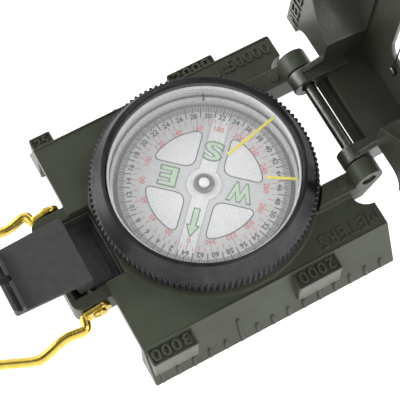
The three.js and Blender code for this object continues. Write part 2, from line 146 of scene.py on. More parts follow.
# ---- Materials -----------------------------------------------------------------------------------
class Look:
    """A material whose nodes are added one by one. Noise scales count per millimetre."""

    def __init__(self, name):
        self.material = bpy.data.materials.new(name)
        self.material.use_nodes = True
        self.tree = self.material.node_tree
        self.shader = self.tree.nodes["Principled BSDF"]

    def node(self, kind, **settings):
        made = self.tree.nodes.new(kind)
        for key, value in settings.items():
            if key in made.inputs:
                made.inputs[key].default_value = value
            else:
                setattr(made, key, value)
        return made

    def link(self, source, target):
        self.tree.links.new(source, target)

    def set(self, **values):
        for key, value in values.items():
            self.shader.inputs[key.replace("_", " ")].default_value = value

    def place(self, stretch=(1, 1, 1)):
        """Object coordinates in millimetres, stretched."""
        coordinates = self.node("ShaderNodeTexCoord")
        mapping = self.node("ShaderNodeMapping", Scale=[s / MM for s in stretch])
        self.link(coordinates.outputs["Object"], mapping.inputs["Vector"])
        return mapping.outputs["Vector"]

    def noise(self, scale, detail=2.0, stretch=(1, 1, 1)):
        made = self.node("ShaderNodeTexNoise", Scale=scale, Detail=detail)
        self.link(self.place(stretch), made.inputs["Vector"])
        return made.outputs["Fac"]

    def spread(self, factor, low, high):
        """A value from low to high, from the middle part of a noise's range."""
        made = self.node("ShaderNodeMapRange")
        for limit, value in (("From Min", 0.3), ("From Max", 0.7), ("To Min", low), ("To Max", high)):
            made.inputs[limit].default_value = value
        self.link(factor, made.inputs["Value"])
        return made.outputs["Result"]

    def clouds(self, scale, detail, low, high, start=0.3, end=0.7):
        """A base colour that drifts from one tone to another in soft clouds."""
        factor = self.noise(scale, detail)
        ramp = self.node("ShaderNodeValToRGB")
        for element, position, colour in zip(ramp.color_ramp.elements, (start, end), (low, high)):
            element.position = position
            element.color = (*colour, 1)
        self.link(factor, ramp.inputs["Fac"])
        self.link(ramp.outputs["Color"], self.shader.inputs["Base Color"])

    def bump(self, height, strength, distance_mm, normal=None):
        made = self.node("ShaderNodeBump", Strength=strength, Distance=distance_mm * MM)
        self.link(height, made.inputs["Height"])
        if normal is not None:
            self.link(normal, made.inputs["Normal"])
        self.link(made.outputs["Normal"], self.shader.inputs["Normal"])
        return made.outputs["Normal"]

    def roughness(self, socket):
        self.link(socket, self.shader.inputs["Roughness"])


def scaled(colour, factor):
    return tuple(min(1.0, c * factor) for c in colour)


def cast_paint(name, colour, grain, gloss):
    """Satin enamel on a die casting: soft clouds of tone, a fine orange peel and a coarser waviness."""
    look = Look(name)
    look.clouds(0.12, 4, scaled(colour, 0.86), scaled(colour, 1.16))
    look.roughness(look.spread(look.noise(0.6, detail=3), 0.32, 0.42))
    peel = look.bump(look.noise(1.3, detail=1), grain, 0.05)
    look.bump(look.noise(0.35, detail=1), 0.2, 0.06, peel)
    look.set(Specular_IOR_Level=gloss)
    return look.material


def black_anodised():
    """Turned aluminium, anodised black: fine rings left by the lathe and a dull metallic sheen."""
    look = Look("black_anodised")
    turned = look.noise(9.0, detail=1, stretch=(0.02, 0.02, 1))
    look.clouds(0.5, 3, (0.038, 0.038, 0.040), (0.052, 0.052, 0.054))
    look.roughness(look.spread(turned, 0.36, 0.46))
    look.bump(turned, 0.15, 0.01)
    look.set(Metallic=1.0, Anisotropic=0.85, Anisotropic_Rotation=0.25)
    round_axis = look.node("ShaderNodeTangent", direction_type="RADIAL", axis="Z")
    look.link(round_axis.outputs["Tangent"], look.shader.inputs["Tangent"])
    return look.material


def black_plastic(name, low, high):
    """Matte moulded plastic with a fine spark-eroded grain."""
    look = Look(name)
    look.clouds(0.7, 4, (low, low, low * 1.03), (high, high, high * 1.03))
    look.roughness(look.spread(look.noise(1.5, detail=2), 0.5, 0.66))
    look.bump(look.noise(6.0, detail=3), 0.3, 0.02)
    return look.material


def capsule_plastic():
    look = Look("capsule_plastic")
    look.clouds(0.4, 2, (0.66, 0.66, 0.67), (0.72, 0.72, 0.73))
    look.roughness(look.spread(look.noise(1.2), 0.24, 0.34))
    look.bump(look.noise(2.5), 0.08, 0.02)
    return look.material


def card_plastic():
    """White card with a slightly mottled, eggshell surface."""
    look = Look("card_plastic")
    look.clouds(0.9, 5, (0.55, 0.55, 0.56), (0.60, 0.60, 0.61), 0.35, 0.65)
    look.roughness(look.spread(look.noise(2.0), 0.45, 0.6))
    look.bump(look.noise(8.0, detail=2), 0.12, 0.01)
    return look.material


def ink(name, colour, roughness=0.6):
    """Printing ink with a slightly uneven film."""
    look = Look(name)
    look.clouds(4.0, 3, scaled(colour, 0.85), scaled(colour, 1.2))
    look.roughness(look.spread(look.noise(3.0), roughness - 0.08, roughness + 0.08))
    look.bump(look.noise(12.0), 0.1, 0.004)
    return look.material


def clear_glass():
    """Thin clear glass: almost all of it is seen through, and its faces still mirror."""
    look = Look("clear_glass")
    look.set(Base_Color=(0.95, 0.97, 0.98, 1), Alpha=0.05, IOR=1.5)
    look.roughness(look.spread(look.noise(0.3), 0.02, 0.05))
    look.bump(look.noise(0.15, detail=1), 0.05, 0.01)
    return look.material


def brass():
    """Bright lacquered brass: warm tone shifts, faint drawing marks and small dents."""
    look = Look("brass")
    look.clouds(0.5, 4, (0.56, 0.40, 0.07), (0.68, 0.52, 0.12))
    look.roughness(look.spread(look.noise(1.6, detail=3), 0.14, 0.28))
    marks = look.bump(look.noise(5.0, detail=2, stretch=(0.15, 1, 1)), 0.15, 0.01)
    look.bump(look.noise(0.7, detail=1), 0.3, 0.05, marks)
    look.set(Metallic=1.0)
    return look.material


def steel(name, colour, low, high):
    look = Look(name)
    look.clouds(0.8, 4, scaled(colour, 0.85), scaled(colour, 1.15))
    look.roughness(look.spread(look.noise(2.0, detail=3), low, high))
    look.bump(look.noise(7.0, stretch=(1, 0.2, 1)), 0.2, 0.01)
    look.set(Metallic=1.0)
    return look.material


def rubber():
    look = Look("seal_rubber")
    look.clouds(1.0, 3, (0.03, 0.03, 0.03), (0.05, 0.05, 0.05))
    look.roughness(look.spread(look.noise(2.0), 0.7, 0.9))
    look.bump(look.noise(5.0), 0.2, 0.02)
    return look.material


LOOKS = {
    "olive_paint": cast_paint("olive_paint", (0.043, 0.048, 0.034), 0.1, 0.25),
    "cover_paint": cast_paint("cover_paint", (0.020, 0.0225, 0.0145), 0.9, 1.0),
    "black_anodised": black_anodised(),
    "black_plastic": black_plastic("black_plastic", 0.018, 0.027),
    "black_plastic_bed": black_plastic("black_plastic_bed", 0.045, 0.065),
    "capsule_plastic": capsule_plastic(),
    "card_plastic": card_plastic(),
    "clear_glass": clear_glass(),
    "jewel": ink("jewel", (0.88, 0.83, 0.81), 0.2),
    "luminous_yellow": ink("luminous_yellow", (0.60, 0.52, 0.045)),
    "luminous_mint": ink("luminous_mint", (0.46, 0.64, 0.44)),
    "print_black": ink("print_black", (0.02, 0.02, 0.02)),
    # The next two inks are not print: they colour the painted shade along the edges of the card's bar.
    "print_bar_edge_shade": ink("print_bar_edge_shade", (0.40, 0.40, 0.41)),
    "print_bar_edge_soft_shade": ink("print_bar_edge_soft_shade", (0.53, 0.53, 0.54)),
    "print_white": ink("print_white", (0.72, 0.72, 0.725)),
    "print_green": ink("print_green", (0.10, 0.17, 0.11)),
    "print_red": ink("print_red", (0.58, 0.16, 0.14)),
    "brass": brass(),
    "bright_steel": steel("bright_steel", (0.55, 0.55, 0.54), 0.2, 0.35),
    "dark_steel": steel("dark_steel", (0.16, 0.165, 0.15), 0.25, 0.4),
    "seal_rubber": rubber(),
}


# ---- Mesh helpers --------------------------------------------------------------------------------
CREASE = math.radians(38)
SOFT_CREASE = math.radians(60)


def evaluated(carrier):
    """A new mesh of an object with its modifiers applied."""
    return bpy.data.meshes.new_from_object(carrier.evaluated_get(bpy.context.evaluated_depsgraph_get()))


def mesh_from(bm, name, sharp=CREASE):
    """The finished mesh: faces pointing out, smooth shaded with sharp creases kept."""
    bmesh.ops.recalc_face_normals(bm, faces=bm.faces)
    mesh = bpy.data.meshes.new(name)
    bm.to_mesh(mesh)
    bm.free()
    mesh.shade_smooth()
    mesh.set_sharp_from_angle(angle=sharp)
    carrier = bpy.data.objects.new(name, mesh)
    bpy.context.scene.collection.objects.link(carrier)
    carrier.modifiers.new("weighted", "WEIGHTED_NORMAL").keep_sharp = True
    made = evaluated(carrier)
    bpy.data.objects.remove(carrier)
    bpy.data.meshes.remove(mesh)
    made.name = name
    return made


def piece(name, bm, body, slot, look=None, replaced=(), sharp=CREASE):
    """A finished piece on its body, in its slot's look unless another is named."""
    made = bpy.data.objects.new(name, mesh_from(bm, name, sharp))
    bpy.context.scene.collection.objects.link(made)
    made.data.materials.append(LOOKS[look or slot])
    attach(made, body)
    if replaced:
        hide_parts(*replaced)


def rounded(corner, before, after, reach, steps):
    """A corner as a short curve that starts and ends at a reach along its two sides."""
    start = corner + before.normalized() * reach
    end = corner + after.normalized() * reach
    ts = [step / steps for step in range(steps + 1)]
    return [start * (1 - t) ** 2 + corner * 2 * t * (1 - t) + end * t ** 2 for t in ts]


def softened(points, radius, steps=2, closed=True):
    """A profile in millimetres with its corners rounded, less so where a side is short."""
    corners = [Vector(p) for p in points]
    made = []
    for k, corner in enumerate(corners):
        if not closed and k in (0, len(corners) - 1):
            made.append(corner)
            continue
        before = corners[k - 1] - corner
        after = corners[(k + 1) % len(corners)] - corner
        reach = min(radius, 0.45 * before.length, 0.45 * after.length)
        made += rounded(corner, before, after, reach, steps)
    return made


def filleted(corners, steps=6):
    """An outline of (x, y, reach) corners, each rounded over its own reach along both sides."""
    made = []
    for k, (x, y, reach) in enumerate(corners):
        corner = Vector((x, y))
        if not reach:
            made.append(corner)
            continue
        before = Vector(corners[k - 1][:2]) - corner
        after = Vector(corners[(k + 1) % len(corners)][:2]) - corner
        made += rounded(corner, before, after, reach, steps)
    return made


def lathe(points, segments, radius=0.12, ripple=None):
    """A profile of (radius, z) points turned about the dial axis, its corners rounded by a radius.

    A profile that starts on the axis ends there too, and any other is a closed outline. Ripple gives
    the reach of a point from its radius and its turn about the axis.
    """
    closed = points[0][0] > 0
    profile = softened(points, radius, closed=closed) if radius else points
    bm = bmesh.new()
    rings = []
    for r, z in profile:
        if r < 1e-6:
            rings.append([bm.verts.new((0, 0, z * MM))])
            continue
        ring = []
        for k in range(segments):
            turn = 2 * math.pi * k / segments
            reach = ripple(r, turn) if ripple else r
            ring.append(bm.verts.new((reach * math.cos(turn) * MM, reach * math.sin(turn) * MM, z * MM)))
        rings.append(ring)
    following = rings[1:] + ([rings[0]] if closed else [])
    for here, there in zip(rings, following):
        for k in range(segments):
            around = ((here, k), (here, k + 1), (there, k + 1), (there, k))
            corners = list(dict.fromkeys(ring[j % len(ring)] for ring, j in around))
            if len(corners) > 2:
                bm.faces.new(corners)
    return bm


def ring_of(inner, outer, z0, z1, radius):
    """A flat ring about the dial axis with a rounded section."""
    return lathe([(inner, z0), (outer, z0), (outer, z1), (inner, z1)], DIAL_STEPS, radius)


def prism(bm, points, z0, z1, place=None):
    """Adds an outline in millimetres, extruded from z0 to z1 and put in its place."""
    low = [bm.verts.new((x * MM, y * MM, z0 * MM)) for x, y in points]
    high = [bm.verts.new((x * MM, y * MM, z1 * MM)) for x, y in points]
    bm.faces.new(list(reversed(low)))
    bm.faces.new(high)
    for k in range(len(points)):
        after = (k + 1) % len(points)
        bm.faces.new((low[k], low[after], high[after], high[k]))
    if place is not None:
        bmesh.ops.transform(bm, matrix=place, verts=low + high)


def band(bm, inner, outer, z0, z1, place):
    """Adds a flat loop between two outlines with the same number of points, put in its place."""
    def ring(points, z):
        return [bm.verts.new((x * MM, y * MM, z * MM)) for x, y in points]

    rings = [ring(inner, z0), ring(outer, z0), ring(outer, z1), ring(inner, z1)]
    for here, there in zip(rings, rings[1:] + rings[:1]):
        for k in range(len(inner)):
            after = (k + 1) % len(inner)
            bm.faces.new((here[k], here[after], there[after], there[k]))
    bmesh.ops.transform(bm, matrix=place, verts=[v for r in rings for v in r])


def grown(points, distance):
    """A counter-clockwise outline with each side moved out by a distance."""
    corners = [Vector(p) for p in points]
    made = []
    for k, corner in enumerate(corners):
        before = (corner - corners[k - 1]).normalized()
        after = (corners[(k + 1) % len(corners)] - corner).normalized()
        side_before = Vector((before.y, -before.x))
        side_after = Vector((after.y, -after.x))
        middle = side_before + side_after
        made.append(corner + middle * (distance / max(0.35, middle.dot(side_after))))
    return made


def swept(points, radius, across, sides):
    """A round wire along points in millimetres. Across is a direction that the wire never runs along."""
    bm = bmesh.new()
    rings = []
    for before, point, after in zip(points[:1] + points, points, points[1:] + points[-1:]):
        along = (after - before).normalized()
        side = along.cross(across).normalized()
        up = side.cross(along)
        ring = []
        for j in range(sides):
            turn = 2 * math.pi * j / sides
            ring.append(bm.verts.new((point + (side * math.cos(turn) + up * math.sin(turn)) * radius) * MM))
        rings.append(ring)
    for here, there in zip(rings, rings[1:]):
        for j in range(sides):
            after = (j + 1) % sides
            bm.faces.new((here[j], here[after], there[after], there[j]))
    bm.faces.new(list(reversed(rings[0])))
    bm.faces.new(rings[-1])
    return bm


def smooth_path(corners, steps):
    """Points along a centripetal Catmull-Rom curve through the corners."""
    ends = [corners[0] * 2 - corners[1], *corners, corners[-1] * 2 - corners[-2]]
    made = []
    for a, b, c, d in zip(ends, ends[1:], ends[2:], ends[3:]):
        t1 = (b - a).length ** 0.5
        t2 = t1 + (c - b).length ** 0.5
        t3 = t2 + (d - c).length ** 0.5
        for step in range(steps):
            t = t1 + (t2 - t1) * step / steps
            ab = (a * (t1 - t) + b * t) / t1
            bc = (b * (t2 - t) + c * (t - t1)) / (t2 - t1)
            cd = (c * (t3 - t) + d * (t - t2)) / (t3 - t2)
            early = (ab * (t2 - t) + bc * t) / t2
            late = (bc * (t3 - t) + cd * (t - t1)) / (t3 - t1)
            made.append((early * (t2 - t) + late * (t - t1)) / (t2 - t1))
    return made + [corners[-1]]


def lettering(text, height, depth, spacing=1.0, bevel=0.0, bold=0.0, width=None):
    """A mesh of text, its middle at the origin, sizes in millimetres, standing up along Z."""
    curve = bpy.data.curves.new("lettering", "FONT")
    curve.body = text
    curve.space_character = spacing
    curve.resolution_u = 3
    curve.offset = bold
    source = bpy.data.objects.new("lettering", curve)
    bpy.context.scene.collection.objects.link(source)
    flat = bpy.data.meshes.new_from_object(source)
    top = max(v.co.y for v in flat.vertices)
    bottom = min(v.co.y for v in flat.vertices)
    scale = height / (top - bottom)
    bpy.data.meshes.remove(flat)
    curve.extrude = depth / 2 / scale
    curve.bevel_depth = bevel / scale
    curve.bevel_resolution = 0
    mesh = bpy.data.meshes.new_from_object(source)
    bpy.data.objects.remove(source)
    bpy.data.curves.remove(curve)
    low = Vector((min(v.co.x for v in mesh.vertices), bottom, 0))
    high = Vector((max(v.co.x for v in mesh.vertices), top, 0))
    mesh.transform(Matrix.Translation(-(low + high) / 2))
    mesh.transform(Matrix.Scale(scale * MM, 4))
    if width:
        mesh.transform(Matrix.Scale(width / ((high.x - low.x) * scale), 4, (1, 0, 0)))
    bm = bmesh.new()
    bm.from_mesh(mesh)
    bpy.data.meshes.remove(mesh)
    bmesh.ops.remove_doubles(bm, verts=bm.verts, dist=1e-7)
    return bm


def put(bm, part, place):
    """Adds a part to a mesh at its place."""
    part.transform(place)
    mesh = bpy.data.meshes.new("part")
    part.to_mesh(mesh)
    part.free()
    bm.from_mesh(mesh)
    bpy.data.meshes.remove(mesh)


def placed(position, right, up):
    """A matrix that puts flat things at a position in millimetres, X along right and Y along up."""
    right, up = Vector(right).normalized(), Vector(up).normalized()
    axes = Matrix((right, up, right.cross(up))).transposed().to_4x4()
    return Matrix.Translation(Vector(position) * MM) @ axes


ALONG_X = Matrix(((0, 0, 1, 0), (1, 0, 0, 0), (0, 1, 0, 0), (0, 0, 0, 1)))
ALONG_Y = Matrix(((1, 0, 0, 0), (0, 0, -1, 0), (0, 1, 0, 0), (0, 0, 0, 1)))


def turned(x, z, angle):
    """A turn by an angle about a line along Y through (x, z)."""
    centre = Vector((x, 0, z)) * MM
    return Matrix.Translation(centre) @ Matrix.Rotation(angle, 4, "Y") @ Matrix.Translation(-centre)


OPENED = turned(HINGE_X, HINGE_Z, COVER_OPEN)


def slab(points, z0, z1):
    """A plan outline extruded from z0 to z1."""
    bm = bmesh.new()
    prism(bm, points, z0, z1)
    return bm


def along_x(points, x0, x1):
    """An outline drawn as (y, z), extruded along X."""
    bm = bmesh.new()
    prism(bm, points, x0, x1, ALONG_X)
    return bm


def along_y(points, y0, y1):
    """An outline drawn as (x, z), extruded along Y."""
    bm = bmesh.new()
    prism(bm, points, -y1, -y0, ALONG_Y)
    return bm


def box(x0, x1, y0, y1, z0, z1):
    return slab([(x0, y0), (x1, y0), (x1, y1), (x0, y1)], z0, z1)


def arc(x, y, radius, start, end, steps):
    """Points round a centre from one angle to another, in degrees."""
    turns = [math.radians(start + (end - start) * k / steps) for k in range(steps + 1)]
    return [(x + radius * math.cos(t), y + radius * math.sin(t)) for t in turns]


def disc(x, y, radius, steps):
    return arc(x, y, radius, 0, 360 - 360 / steps, steps - 1)


def rounded_box(x0, x1, y0, y1, radius, steps=8):
    """A plan outline with its four corners rounded."""
    left, right, near, far = x0 + radius, x1 - radius, y0 + radius, y1 - radius
    corners = ((right, near, -90), (right, far, 0), (left, far, 90), (left, near, 180))
    return [point for x, y, start in corners for point in arc(x, y, radius, start, start + 90, steps)]


def both_sides(*parts):
    """Each part and its mirror image across the XZ plane, one after the other."""
    made = []
    for part in parts:
        other = part.copy()
        other.transform(Matrix.Scale(-1, 4, (0, 1, 0)))
        made += [part, other]
    return made


def combined(start, *steps):
    """A solid with others joined to it or cut from it: a step is "UNION" or "DIFFERENCE" and a list."""
    def temporary(bm):
        bmesh.ops.recalc_face_normals(bm, faces=bm.faces)
        mesh = bpy.data.meshes.new("solid")
        bm.to_mesh(mesh)
        bm.free()
        made = bpy.data.objects.new("solid", mesh)
        bpy.context.scene.collection.objects.link(made)
        return made

    whole = temporary(start)
    for operation, tools in steps:
        for tool in tools:
            other = temporary(tool)
            change = whole.modifiers.new("join", "BOOLEAN")
            change.operation = operation
            change.solver = "EXACT"
            change.object = other
            result = evaluated(whole)
            whole.modifiers.clear()
            spent = (other.data, whole.data)
            bpy.data.objects.remove(other)
            whole.data = result
            for mesh in spent:
                bpy.data.meshes.remove(mesh)
    bm = bmesh.new()
    last = whole.data
    bm.from_mesh(last)
    bpy.data.objects.remove(whole)
    bpy.data.meshes.remove(last)
    return bm


def edged(bm, width, segments=2, inner=True):
    """The solid with flat faces joined up, slivers closed and edges rounded, the inner ones too if asked."""
    sharp = math.radians(28)
    flat = math.radians(0.5)
    sliver = 0.02
    bmesh.ops.remove_doubles(bm, verts=bm.verts, dist=1e-6)
    bmesh.ops.dissolve_limit(bm, angle_limit=flat, verts=bm.verts, edges=bm.edges)
    bmesh.ops.remove_doubles(bm, verts=bm.verts, dist=sliver * MM)
    edges = [e for e in bm.edges if e.is_manifold and e.calc_face_angle() > sharp and (inner or e.is_convex)]
    bmesh.ops.bevel(bm, geom=edges, offset=width * MM, offset_type="OFFSET", segments=segments, profile=0.5,
                    affect="EDGES", clamp_overlap=False)
    return bm


def refined(node, width):
    """A CAD node's solid with its edges rounded."""
    bm = bmesh.new()
    bm.from_mesh(nodes[node].data)
    return edged(bm, width)


# ---- Base ----------------------------------------------------------------------------------------
def slope_ribs(ridge_z, edge_z):
    """The raised marks of a map scale on both sloping faces, every fifth one long."""
    across, rise = EDGE_Y - RIDGE_Y, ridge_z - edge_z
    slope = math.hypot(across, rise)
    off_y = RIB_TOP * abs(rise) / slope
    off_z = RIB_TOP * math.copysign(across / slope, rise)
    back_y, back_z = RIB_LEAN * across, -RIB_LEAN * rise
    out_y, out_z = EDGE_Y - across * RIB_START, edge_z + rise * RIB_START
    ribs = bmesh.new()
    for k in range(RIB_COUNT):
        inner = RIB_LONG_END if k % 5 == 0 else RIB_SHORT_END
        in_y, in_z = EDGE_Y - across * inner, edge_z + rise * inner
        section = [(out_y - off_y, out_z - off_z), (out_y + off_y, out_z + off_z),
                   (in_y + off_y + back_y, in_z + off_z + back_z), (in_y - off_y, in_z - off_z)]
        x = SCALE_FIRST_X + k * SCALE_PITCH
        for side in (1, -1):
            rib = along_x([(side * y, z) for y, z in section], x - RIB_WIDTH / 2, x + RIB_WIDTH / 2)
            bmesh.ops.recalc_face_normals(rib, faces=rib.faces)
            put(ribs, edged(rib, RIB_ROUNDING, segments=3), Matrix.Identity(4))
    return ribs


def make_base():
    """The base's casting: a block with sloping sides, hinge lugs, a tongue, and the dial's pad and well."""
    below, above, beyond = -1, 17, 20
    block = along_x([(-EDGE_Y, 0), (EDGE_Y, 0), (RIDGE_Y, PLATE_Z), (-RIDGE_Y, PLATE_Z)], TAIL_X, HEAD_X)
    foot, brow_z, outside = 25.2, 10.2, -31
    undercut = along_y([(outside, brow_z), (TAIL_X, brow_z), (-foot, -0.5), (outside, -0.5)], -foot, foot)

    cut_x, cut_end, cut_corner, cut_top = 23.4, 42, 0.9, 14
    hinge_cut = slab(rounded_box(cut_x, cut_end, -LUG_IN, LUG_IN, cut_corner), below, cut_top)
    under_lugs = slab(rounded_box(cut_x, cut_end, -LUG_OUT, LUG_OUT, cut_corner), below, LUG_Z)
    scoop = disc(HINGE_X - 0.5, LUG_OUT, KNUCKLE_R + 0.1, KNUCKLE_STEPS)
    beside_lugs = both_sides(slab(scoop, below, cut_top))
    root_x, top_z = 18.5, 15.5
    lug = along_y([
        (root_x, LUG_Z), (31.2, LUG_Z), (35.0, 14.6), (HINGE_X, 17), (HINGE_X, top_z), (root_x, top_z),
    ], LUG_IN, LUG_OUT)
    knuckle = along_y(disc(HINGE_X, HINGE_Z, KNUCKLE_R, KNUCKLE_STEPS), LUG_IN, LUG_OUT)
    boss = slab(disc(26.6, 15.2, 1.25, 32), top_z - 0.5, top_z + 0.4)
    hinge_bore = along_y(disc(HINGE_X, HINGE_Z, HINGE_BORE_R, BORE_STEPS), -beyond, beyond)

    tongue_end, tongue_low, tongue_top, tongue_corner = -26, 3, 10.6, 2.5
    tongue_plan = rounded_box(TONGUE_X, -20, -TONGUE_Y, TONGUE_Y, tongue_corner)
    tongue = combined(slab(tongue_plan, tongue_low, tongue_top),
                      ("DIFFERENCE", [box(tongue_end, -10, -beyond, beyond, 0, beyond)]))
    pocket = box(-37, -24.7, -POCKET_Y, POCKET_Y, POCKET_Z, beyond)
    pivot_bore = along_y(disc(PIVOT_X, PIVOT_Z, PIVOT_BORE_R, PIVOT_STEPS), -beyond, beyond)

    room_in, room_out = WELL_R - 2, PAD_R + 0.2
    bezel_room = ring_of(room_in, room_out, PAD_Z, above, 0)
    pad_in, skirt_z, groove_r, groove_low, groove_high = WELL_R - 1, 8, TURRET_R - 0.5, 14.0, 15.0
    pad = lathe([
        (pad_in, 0), (WELL_WALL_R, 0), (WELL_WALL_R, skirt_z), (PAD_R, skirt_z), (PAD_R, PAD_Z),
        (TURRET_R, PAD_Z), (TURRET_R, groove_low), (groove_r, groove_low), (groove_r, groove_high),
        (TURRET_R, groove_high), (TURRET_R, TURRET_Z), (pad_in, TURRET_Z),
    ], DIAL_STEPS, 0)
    cap_room_r, cap_room_z = CAP_R + 0.3, 1.7
    well = lathe([
        (0, below), (cap_room_r, below), (cap_room_r, cap_room_z), (WELL_R, cap_room_z), (WELL_R, above),
        (0, above),
    ], DIAL_STEPS, 0)

    casting = combined(
        block,
        ("DIFFERENCE", [undercut, hinge_cut, under_lugs, *beside_lugs]),
        ("UNION", [*both_sides(lug), *both_sides(knuckle), *both_sides(boss), tongue]),
        ("DIFFERENCE", [bezel_room]),
        ("UNION", [pad]),
        ("DIFFERENCE", [well, pocket, pivot_bore, hinge_bore]),
    )
    piece("base_casting", edged(casting, 0.25), "base", "olive_paint", replaced=["base_body"])
    piece("base_scale_ribs", slope_ribs(PLATE_Z, 0), "base", "olive_paint")


def raised(text, height, width):
    """A raised word as it is cast, with sloping sides."""
    return lettering(text, height, 0.6, spacing=1.08, bevel=0.06, width=width)


def make_base_relief():
    """The trays of the scales' figures, the raised words on the level top and a fine bead on both ridges."""
    rim, depth, root_z = 0.45, 0.6, 4
    trays = bmesh.new()
    for x0, x1, y0, y1, top in (
        (-29.2, -18.1, -31.0, -26.6, 11.6), (6.9, 17.9, -31.0, -26.6, 11.6),
        (-29.4, -24.1, 26.6, 29.9, 11.8), (5.9, 17.9, 26.6, 29.4, 11.6),
    ):
        hollow = rounded_box(x0 + rim, x1 - rim, y0 + rim, y1 - rim, 0.3)
        tray = combined(slab(rounded_box(x0, x1, y0, y1, 0.5), root_z, top),
                        ("DIFFERENCE", [slab(hollow, top - depth, top + 8)]))
        put(trays, edged(tray, 0.12), Matrix.Identity(4))
    piece("base_figure_trays", trays, "base", "olive_paint")

    figures = bmesh.new()
    for text, x0, x1, y, height, z, side in (
        ("3000", -28.6, -19.2, -28.8, 2.7, 11.3, -1), ("2000", 8.0, 17.0, -28.8, 2.7, 11.3, -1),
        ("25", -28.3, -25.2, 28.25, 2.0, 11.5, 1), ("2000", 7.2, 16.8, 28.0, 1.9, 11.3, 1),
        ("METERS", 15.9, 31.0, -24.1, 3.2, PLATE_Z, -1), ("1:50000", 16.6, 30.5, 24.2, 2.9, PLATE_Z, 1),
    ):
        place = placed(((x0 + x1) / 2, y, z), (side, 0, 0), (0, side, 0))
        put(figures, raised(text, height, x1 - x0), place)
    piece("base_raised_figures", figures, "base", "olive_paint")

    bead_r, bead_y, bead_z, bead_gap = 0.24, RIDGE_Y - 0.12, PLATE_Z + 0.03, 0.4
    beads = bmesh.new()
    for side in (-1, 1):
        bead = along_x(disc(side * bead_y, bead_z, bead_r, 12), TAIL_X + bead_gap, HEAD_X - bead_gap)
        put(beads, bead, Matrix.Identity(4))
    piece("base_ridge_beads", beads, "base", "olive_paint", sharp=SOFT_CREASE)


def make_base_fittings():
    """The disc that closes the well, and the lined bed that the rear sight stands in."""
    dish_r, dish_z, thick = 14.0, 0.3, 1.4
    profile = [(0, dish_z), (dish_r, dish_z), (dish_r + 0.4, 0), (CAP_R, 0), (CAP_R, thick), (0, thick)]
    cap = lathe(profile, 128, 0.15)
    piece("bottom_cap_disc", cap, "base", "olive_paint", replaced=["bottom_cap"])
    low, out = POCKET_Z + 0.3, POCKET_Y - 0.05
    tail, head, wall, wall_z = -36.6, -24.8, 0.45, 9.4
    bed = combined(
        box(tail, head, -out, out, low, 5.3),
        ("UNION", [
            box(tail, tail + 0.7, -out, out, low, 6.2),
            slab(rounded_box(-34.6, -26.4, -6.6, 6.6, 0.6), 5.0, 5.6),
            box(head - 0.4, head, -out, out, low, wall_z),
            *both_sides(box(tail, head, out - wall, out, low, wall_z)),
        ]),
    )
    piece("sight_bed_plate", edged(bed, 0.12), "base", "black_plastic", "black_plastic_bed",
          replaced=["sight_bed"])


def make_cover():
    """The cover's casting with its ribs and word, drawn shut over the base and then opened."""
    end, wall, back = HINGE_X - 0.5, 1.6, HINGE_X + 1.5
    under, beyond = COVER_FACE_Z - 5, 40
    block = along_x([
        (-RIDGE_Y, COVER_FACE_Z), (RIDGE_Y, COVER_FACE_Z), (EDGE_Y, CLOSED_Z), (-EDGE_Y, CLOSED_Z),
    ], TAIL_X, end)
    room_x, room_y, sight_room_y = 10, 11.3, 9.8
    cavity = slab(disc(0, 0, CAVITY_R, DIAL_STEPS), under, CAVITY_Z)
    sight_room = box(-31, -15, -sight_room_y, sight_room_y, under, CAVITY_Z)
    hinge_room = box(room_x, end - wall, -room_y, room_y, under, CAVITY_Z)
    channel = box(-19, end - wall, -room_y, room_y, CAVITY_Z - 1, CAVITY_Z + 0.7)
    relief_y, relief_r = 22.5, 4
    relief = slab([
        (end + 5, EAR_OUT), (end + 5, relief_y),
        *arc(end + 0.4, relief_y - relief_r, relief_r, 90, 180, 12), (end + 0.4 - relief_r, EAR_OUT),
    ], 10, beyond)

    ear_top = 27
    ear = along_y([
        (HINGE_X + 3.4, HINGE_Z), (back, COVER_FACE_Z + 1.5), (back, ear_top), (HINGE_X - 5, ear_top),
        (HINGE_X - 5, COVER_FACE_Z), (HINGE_X - 3.4, HINGE_Z),
    ], EAR_IN, EAR_OUT)
    ear_knuckle = along_y(disc(HINGE_X, HINGE_Z, KNUCKLE_R, KNUCKLE_STEPS), EAR_IN, EAR_OUT)
    web_y = EAR_IN + 0.5
    web = box(back - 1, back, -web_y, web_y, HINGE_Z + 2.2, ear_top)
    ledge = box(end - wall, back, -web_y, web_y, HINGE_Z + 8.5, ear_top)
    room_again = box(room_x, 29, -room_y, room_y, under, CAVITY_Z)
    window = slab(rounded_box(-13, 19.5, -WINDOW_Y, WINDOW_Y, WINDOW_Y - 0.05, 16), 20, beyond)
    bore = along_y(disc(HINGE_X, HINGE_Z, HINGE_BORE_R, BORE_STEPS), -20, 20)
    casting = combined(
        block,
        ("DIFFERENCE", [cavity, sight_room, hinge_room, channel, *both_sides(relief)]),
        ("UNION", [*both_sides(ear), *both_sides(ear_knuckle), web, ledge]),
        ("DIFFERENCE", [room_again, window, bore]),
    )
    casting = edged(casting, 0.3, inner=False)
    casting.transform(OPENED)
    piece("cover_casting", casting, "cover", "cover_paint", replaced=["cover"])
    ribs = slope_ribs(COVER_FACE_Z, CLOSED_Z)
    ribs.transform(OPENED)
    piece("cover_scale_ribs", ribs, "cover", "cover_paint")
    word = bmesh.new()
    place = placed((21.6, 24.2, COVER_FACE_Z), (-1, 0, 0), (0, 1, 0))
    put(word, raised("METERS", 3.2, 15.4), OPENED @ place)
    piece("cover_raised_word", word, "cover", "cover_paint")


